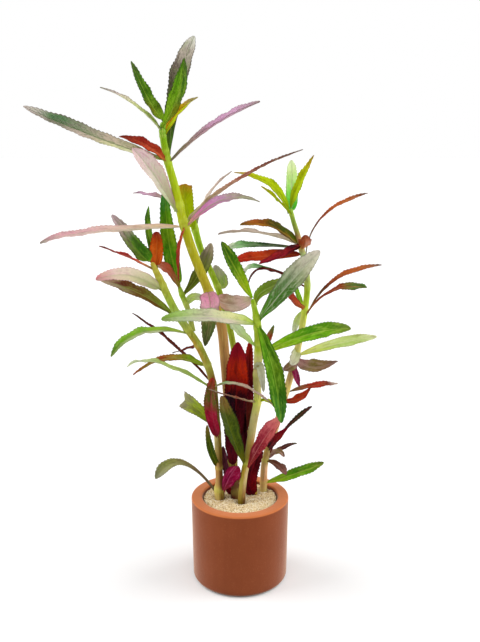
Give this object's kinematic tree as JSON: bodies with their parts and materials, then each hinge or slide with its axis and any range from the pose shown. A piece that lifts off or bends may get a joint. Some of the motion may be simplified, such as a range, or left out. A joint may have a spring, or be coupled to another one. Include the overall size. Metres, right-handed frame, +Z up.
{
  "type": "potted rice paddy herb",
  "caption": "Aquarium stem plant with long serrated green, pink and crimson leaves, standing in gravel in a small terracotta pot.",
  "frame": {"origin": "middle of the pot's flat underside", "axes": "+Z up along the plant; the plant's front faces -Y"},
  "size_m": [0.168, 0.0906, 0.27],
  "materials": {
    "terracotta": "matte",
    "gravel": "matte",
    "stem": "satin",
    "leaf_green": "satin",
    "leaf_pink": "satin",
    "leaf_red": "satin"
  },
  "bodies": {
    "root": {"back_stem": "stem", "back_stem_leaf_1": "leaf_green", "back_stem_leaf_2": "leaf_green", "back_stem_leaf_3": "leaf_red", "back_stem_leaf_4": "leaf_red", "front_stem": "stem", "front_stem_leaf_1": "leaf_green", "front_stem_leaf_2": "leaf_green", "front_stem_leaf_3": "leaf_green", "front_stem_leaf_4": "leaf_green", "front_stem_leaf_5": "leaf_green", "front_stem_leaf_6": "leaf_green", "front_stem_leaf_7": "leaf_green", "front_stem_leaf_8": "leaf_pink", "front_stem_leaf_9": "leaf_green", "gravel": "gravel", "left_stem": "stem", "left_stem_leaf_1": "leaf_green", "left_stem_leaf_10": "leaf_green", "left_stem_leaf_2": "leaf_pink", "left_stem_leaf_3": "leaf_red", "left_stem_leaf_4": "leaf_red", "left_stem_leaf_5": "leaf_red", "left_stem_leaf_6": "leaf_green", "left_stem_leaf_7": "leaf_green", "left_stem_leaf_8": "leaf_green", "left_stem_leaf_9": "leaf_red", "right_stem": "stem", "right_stem_leaf_1": "leaf_green", "right_stem_leaf_10": "leaf_green", "right_stem_leaf_11": "leaf_red", "right_stem_leaf_12": "leaf_red", "right_stem_leaf_13": "leaf_red", "right_stem_leaf_14": "leaf_green", "right_stem_leaf_2": "leaf_green", "right_stem_leaf_3": "leaf_green", "right_stem_leaf_4": "leaf_red", "right_stem_leaf_5": "leaf_pink", "right_stem_leaf_6": "leaf_red", "right_stem_leaf_7": "leaf_red", "right_stem_leaf_8": "leaf_red", "right_stem_leaf_9": "leaf_green", "side_shoot": "stem", "side_shoot_leaf_1": "leaf_green", "side_shoot_leaf_2": "leaf_green", "tall_stem": "stem", "tall_stem_leaf_1": "leaf_green", "tall_stem_leaf_10": "leaf_pink", "tall_stem_leaf_11": "leaf_pink", "tall_stem_leaf_12": "leaf_red", "tall_stem_leaf_13": "leaf_red", "tall_stem_leaf_2": "leaf_green", "tall_stem_leaf_3": "leaf_green", "tall_stem_leaf_4": "leaf_pink", "tall_stem_leaf_5": "leaf_green", "tall_stem_leaf_6": "leaf_pink", "tall_stem_leaf_7": "leaf_pink", "tall_stem_leaf_8": "leaf_red", "tall_stem_leaf_9": "leaf_pink", "terracotta_pot": "terracotta"}
  },
  "joints": []
}
